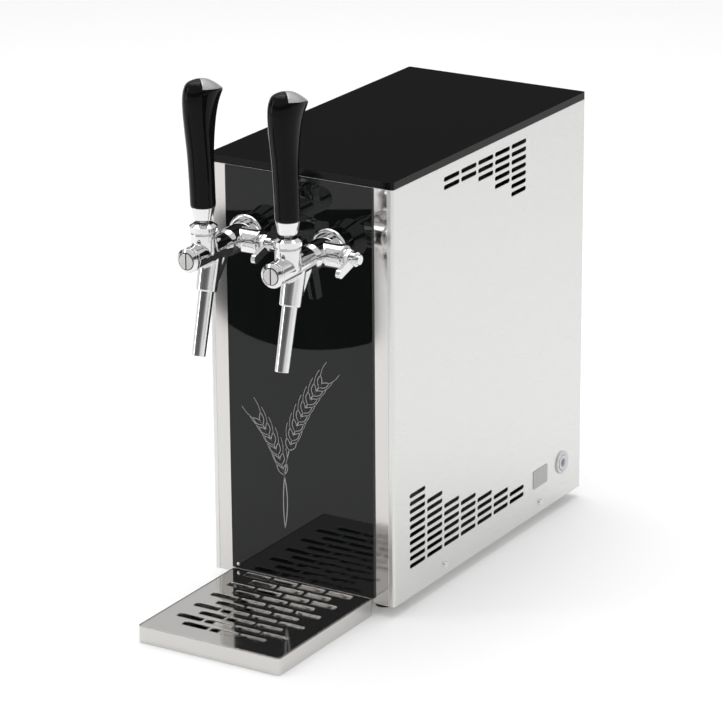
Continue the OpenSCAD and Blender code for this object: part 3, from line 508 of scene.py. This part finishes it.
def barley_ear(bm, foot, tip, bend, pairs):
    stem = [stem_point(foot, tip, bend, i / STEM_STEPS)[0] for i in range(STEM_STEPS + 1)]
    ribbon(bm, stem, STEM_LINE)
    for i in range(pairs):
        share = EAR_FROM + EAR_SHARE * i / (pairs - 1)
        root, direction = stem_point(foot, tip, bend, share)
        for lean in (-GRAIN_LEAN, GRAIN_LEAN):
            growth = turned(direction, lean)
            ribbon(bm, grain_outline(root, growth), GRAIN_LINE, closed=True)
            awn = root + growth * GRAIN_SIZE[0]
            line = []
            for k in range(AWN_STEPS + 1):
                way = turned(growth, -lean * AWN_BOW * k / AWN_STEPS)
                line.append(awn + way * AWN_LENGTH * k / AWN_STEPS)
            ribbon(bm, line, AWN_LINE)


def make_print():
    low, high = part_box("black_fascia")
    bm = bmesh.new()
    middle = Vector(((low.x + high.x) / 2, low.z))
    foot = middle + Vector(STEM_FOOT) * MM
    for tip, bend, pairs in EARS:
        barley_ear(bm, foot, middle + Vector(tip) * MM, bend, pairs)
    for v in bm.verts:
        v.co.y = low.y - PRINT_T / 2
    mesh = plain_mesh("fascia_print", bm)
    thicken(new_piece("fascia_print", mesh, "white_plastic", "cabinet", look=PRINT), PRINT_T)


# Small rivet low on the fascia

# x and z in mm
RIVET_AT = (-70, 20.5)
# radius and height over the fascia, in mm
RIVET_PROFILE = [(1.7, 0), (1.7, 0.25), (1.5, 0.6), (1.05, 0.9), (0.5, 1.03)]


def make_rivet():
    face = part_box("black_fascia")[0].y
    centre = Vector((RIVET_AT[0] * MM, face, RIVET_AT[1] * MM))
    bm = bmesh.new()
    lathe(bm, centre, RIVET_PROFILE, ROUND_SIDES)
    mesh = closed_mesh("fascia_rivet", bm)
    shade_smooth(mesh)
    new_piece("fascia_rivet", mesh, "chrome", "cabinet")


# Bare plate on the right side

# y and z in mm
PLATE_AT = (168.8, 47.4)
PLATE_SIZE = (28.4, 18.4)
PLATE_CORNER = 1.6
PLATE_T = 0.5 * MM
PLATE_BEVEL = 0.2 * MM


def make_plate():
    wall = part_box("right_side_panel")[1].x
    outline = [(Vector(PLATE_AT) + p) * MM for p in rounded_outline(PLATE_SIZE, PLATE_CORNER)]
    bm = bmesh.new()
    inner = [bm.verts.new((wall, p.x, p.y)) for p in outline]
    outer = [bm.verts.new((wall + PLATE_T, p.x, p.y)) for p in outline]
    join_rings(bm, [inner, outer])
    mesh = closed_mesh("side_plate", bm)
    piece = new_piece("side_plate", mesh, "aluminium", "cabinet", look=PLATE_FOIL)
    bevel_edges(piece, PLATE_BEVEL)


# Thermostat: a fluted knob with a pointer, and the scale round it

# radius, distance from the rear sheet and depth of the flutes, in mm
KNOB_PROFILE = [(15, 2.5, 0), (15, 4.2, 0), (14.4, 4.8, 0), (14.2, 5.4, 0.9), (13.6, 10.8, 0.9),
                (13, 11.7, 0.3), (12.2, 12, 0)]
KNOB_FLUTES = 20
KNOB_SIDES = 200
# the pointer's bar and the pale line on it: width and length, and distances from the rear sheet, in mm
POINTER_SIZE = (3.4, 11.6)
POINTER_T = (11.5, 13.4)
LINE_SIZE = (1.1, 9.6)
LINE_T = (13.3, 13.5)
POINTER_AT = 6.4
BAR_ROUND = 0.45
SCALE_STEPS = 8
SCALE_SPAN = 280
TICK_R = (17.6, 20.6)
TICK_W = 0.9 * MM
DIGIT_R = 24.6
DIGIT_H = 6.2 * MM


def knob_bar(bm, axis, sheet, size, reach):
    """A bar with round ends on the knob's face, between two distances from the rear sheet."""
    outline = [p * MM for p in rounded_outline(size, size[0] * BAR_ROUND)]
    middle = axis.z + POINTER_AT * MM
    rings = []
    for distance in reach:
        y = sheet + distance * MM
        rings.append([bm.verts.new((axis.x + p.x, y, middle + p.y)) for p in outline])
    join_rings(bm, rings)


def make_knob():
    axis = Vector(joints["thermostat_turn"]["pos_m"])
    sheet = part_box("rear_panel")[1].y
    bm = bmesh.new()
    rings = []
    for radius, reach, flute in KNOB_PROFILE:
        ring = []
        for i in range(KNOB_SIDES):
            turn = 2 * math.pi * i / KNOB_SIDES
            r = (radius - flute * (0.5 + 0.5 * math.cos(KNOB_FLUTES * turn))) * MM
            x = axis.x + r * math.cos(turn)
            z = axis.z + r * math.sin(turn)
            ring.append(bm.verts.new((x, sheet + reach * MM, z)))
        rings.append(ring)
    join_rings(bm, rings)
    knob_bar(bm, axis, sheet, POINTER_SIZE, POINTER_T)
    new_piece("thermostat_grip", closed_mesh("thermostat_grip", bm), "black_plastic", "thermostat_dial",
              "thermostat_knob")
    bm = bmesh.new()
    knob_bar(bm, axis, sheet, LINE_SIZE, LINE_T)
    new_piece("thermostat_pointer", closed_mesh("thermostat_pointer", bm), "white_plastic", "thermostat_dial")


def add_digit(bm, text, centre):
    """Fills in one printed digit, to be read from behind."""
    curve = bpy.data.curves.new("digit", "FONT")
    curve.body = text
    curve.size = DIGIT_H
    curve.align_x = "CENTER"
    curve.align_y = "CENTER"
    holder = bpy.data.objects.new("digit", curve)
    glyph = bpy.data.meshes.new_from_object(holder)
    bpy.data.objects.remove(holder)
    glyph.transform(Matrix(((-1, 0, 0, centre.x), (0, 0, 1, 0), (0, 1, 0, centre.y), (0, 0, 0, 1))))
    bm.from_mesh(glyph)


def make_scale():
    axis = Vector(joints["thermostat_turn"]["pos_m"])
    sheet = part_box("rear_panel")[1].y
    middle = Vector((axis.x, axis.z))
    bm = bmesh.new()
    for i in range(SCALE_STEPS):
        turn = math.radians(SCALE_SPAN * (0.5 - i / (SCALE_STEPS - 1)))
        away = Vector((math.sin(turn), math.cos(turn)))
        ribbon(bm, [middle + away * r * MM for r in TICK_R], TICK_W)
        add_digit(bm, str(i), middle + away * DIGIT_R * MM)
    for v in bm.verts:
        v.co.y = sheet + PRINT_T / 2
    mesh = plain_mesh("thermostat_scale", bm)
    thicken(new_piece("thermostat_scale", mesh, "black_plastic", "cabinet"), PRINT_T)


# Rockers: a bar and a ring, printed on the two slopes of each

ROCKER_VALLEY = 6 * MM
ROCKER_RISE = 2.6
ROCKER_RUN = 9.5
ROCKER_SLOPE = math.atan(ROCKER_RISE / ROCKER_RUN)
MARK_AT = 2.2 * MM
MARK_SIZE = 0.8 * MM
MARK_LINE = 0.4 * MM
MARK_SIDES = 24


def make_marks(name):
    """The marks for on and off, on the slopes of a rocker."""
    pivot = Vector(joints[name + "_rock"]["pos_m"])
    bar = [Vector((0, MARK_AT + k * MARK_SIZE)) for k in (-1, 1)]
    turns = [2 * math.pi * i / MARK_SIDES for i in range(MARK_SIDES)]
    ring = [Vector((math.cos(a) * MARK_SIZE, math.sin(a) * MARK_SIZE - MARK_AT)) for a in turns]
    bm = bmesh.new()
    ribbon(bm, bar, MARK_LINE)
    ribbon(bm, ring, MARK_LINE, closed=True)
    for v in bm.verts:
        run = v.co.z
        rise = ROCKER_VALLEY + abs(run) * math.sin(ROCKER_SLOPE) + PRINT_T / 2
        v.co = pivot + Vector((v.co.x, rise, run * math.cos(ROCKER_SLOPE)))
    mesh = plain_mesh(name + "_marks", bm)
    thicken(new_piece(name + "_marks", mesh, "white_plastic", name + "_rocker"), PRINT_T)


# Stage

FLOOR_HALF = 9
FLOOR_LIFT = 0.18
# the dark card: its middle on the floor, the way it points, and its reach from there, in metres
FLAG_AT = (-0.50, -0.95)
FLAG_AWAY = (-0.52, -0.854)
FLAG_LENGTH = 0.26
FLAG_LEFT = 0.14
FLAG_RIGHT = 0.06
FLAG_ROUND = 0.28
FLAG_STEPS = 24
FLAG_LIFT = 0.002
# height of the direction, from 0 at the floor line to 1 straight up, and the grey there
WORLD_STOPS = [(0, 0.85), (0.06, 0.25), (0.15, 0.05), (0.3, 0.05), (0.37, 0.7), (1, 0.7)]
# name, place and size in metres, and power in watts
LAMPS = [
    ("top_box", (-0.35, 0.3, 2.7), (2.4, 2.4), 43),
    ("right_box", (2.0, 1.7, 0.9), (3.0, 1.8), 3),
    ("left_strip", (-1.7, -1.5, 0.9), (0.3, 1.6), 6)]
LAMP_TARGET = (0, 0, 0.25)


def floor_material():
    """A pale floor, lifted a little towards white for the camera and for mirrors."""
    material, tree, shader = new_material("floor")
    value = noise(tree, 3)
    tree.links.new(tint(tree, value, grey(0.86), grey(0.88)), shader.inputs["Base Color"])
    set_inputs(shader, Roughness=0.9, Specular_IOR_Level=0.1)
    path = tree.nodes.new("ShaderNodeLightPath")
    seen = path.outputs["Is Camera Ray"]
    for kind in ("Is Glossy Ray", "Is Transmission Ray"):
        either = tree.nodes.new("ShaderNodeMath")
        either.operation = "MAXIMUM"
        tree.links.new(seen, either.inputs[0])
        tree.links.new(path.outputs[kind], either.inputs[1])
        seen = either.outputs["Value"]
    lift = tree.nodes.new("ShaderNodeMath")
    lift.operation = "MULTIPLY"
    lift.inputs[1].default_value = FLOOR_LIFT
    tree.links.new(seen, lift.inputs[0])
    set_inputs(shader, Emission_Color=(1, 1, 1, 1))
    tree.links.new(lift.outputs["Value"], shader.inputs["Emission Strength"])
    return material


def make_floor():
    mesh = bpy.data.meshes.new("floor")
    corners = [(x * FLOOR_HALF, y * FLOOR_HALF, 0) for x, y in ((-1, -1), (1, -1), (1, 1), (-1, 1))]
    mesh.from_pydata(corners, [], [(0, 1, 2, 3)])
    floor = bpy.data.objects.new("floor", mesh)
    bpy.context.scene.collection.objects.link(floor)
    mesh.materials.append(floor_material())


def make_flag():
    """A dark card on the floor, left of the view, that the glossy front mirrors as a darker band."""
    material, tree, shader = new_material("flag")
    value = noise(tree, 60)
    tree.links.new(tint(tree, value, grey(0.05), grey(0.06)), shader.inputs["Base Color"])
    set_inputs(shader, Roughness=0.9, Specular_IOR_Level=0)
    outline = [Vector((FLAG_LENGTH, -FLAG_RIGHT)), Vector((FLAG_LENGTH, FLAG_LEFT))]
    for i in range(FLAG_STEPS + 1):
        a = math.pi * i / FLAG_STEPS
        outline.append(Vector((-FLAG_ROUND * math.sin(a), max(FLAG_LEFT * math.cos(a), -FLAG_RIGHT))))
    away = Vector(FLAG_AWAY).normalized()
    across = Vector((away.y, -away.x))
    points = [Vector(FLAG_AT) + away * p.x + across * p.y for p in outline]
    mesh = bpy.data.meshes.new("flag")
    mesh.from_pydata([(p.x, p.y, FLAG_LIFT) for p in points], [], [range(len(points))])
    mesh.materials.append(material)
    flag = bpy.data.objects.new("flag", mesh)
    flag.visible_camera = False
    flag.visible_diffuse = False
    flag.visible_shadow = False
    bpy.context.scene.collection.objects.link(flag)


def make_world():
    """A plain studio: pale at the floor line, a dark band of wall and a bright ceiling."""
    world = bpy.data.worlds.new("studio")
    world.use_nodes = True
    bpy.context.scene.world = world
    tree = world.node_tree
    coords = tree.nodes.new("ShaderNodeTexCoord")
    split = tree.nodes.new("ShaderNodeSeparateXYZ")
    ramp = tree.nodes.new("ShaderNodeValToRGB")
    tree.links.new(coords.outputs["Generated"], split.inputs["Vector"])
    tree.links.new(split.outputs["Z"], ramp.inputs["Fac"])
    # a new ramp has its stops at 0 and 1
    stops = ramp.color_ramp.elements
    for position, _ in WORLD_STOPS[1:-1]:
        stops.new(position)
    for stop, (_, level) in zip(stops, WORLD_STOPS):
        stop.color = (*grey(level), 1)
    tree.links.new(ramp.outputs["Color"], tree.nodes["Background"].inputs["Color"])


def make_lamp(name, place, size, power):
    data = bpy.data.lights.new(name, "AREA")
    data.shape = "RECTANGLE"
    data.size, data.size_y = size
    data.energy = power
    lamp = bpy.data.objects.new(name, data)
    lamp.location = place
    lamp.rotation_euler = (Vector(LAMP_TARGET) - Vector(place)).to_track_quat("-Z", "Y").to_euler()
    lamp.visible_camera = False
    bpy.context.scene.collection.objects.link(lamp)


def make_camera():
    data = bpy.data.cameras.new("camera")
    data.lens = CAMERA_LENS
    data.sensor_width = CAMERA_SENSOR
    data.clip_end = CAMERA_FAR
    camera = bpy.data.objects.new("camera", data)
    turn = (Matrix.Rotation(math.radians(CAMERA_AZIMUTH), 4, "Z")
            @ Matrix.Rotation(math.radians(90 - CAMERA_ELEVATION), 4, "X")
            @ Matrix.Rotation(math.radians(CAMERA_ROLL), 4, "Z"))
    camera.matrix_world = Matrix.Translation(CAMERA_AT) @ turn
    bpy.context.scene.collection.objects.link(camera)
    bpy.context.scene.camera = camera


make_camera()
make_floor()
make_flag()
make_world()
for lamp_row in LAMPS:
    make_lamp(*lamp_row)
bpy.context.scene.view_settings.view_transform = "Standard"
dress_frame()
for side in ("left", "right"):
    make_handle(side)
    make_cast(side)
    make_cap_disc(side)
make_print()
make_rivet()
make_plate()
make_knob()
make_scale()
for rocker in ("power", "pump"):
    make_marks(rocker)
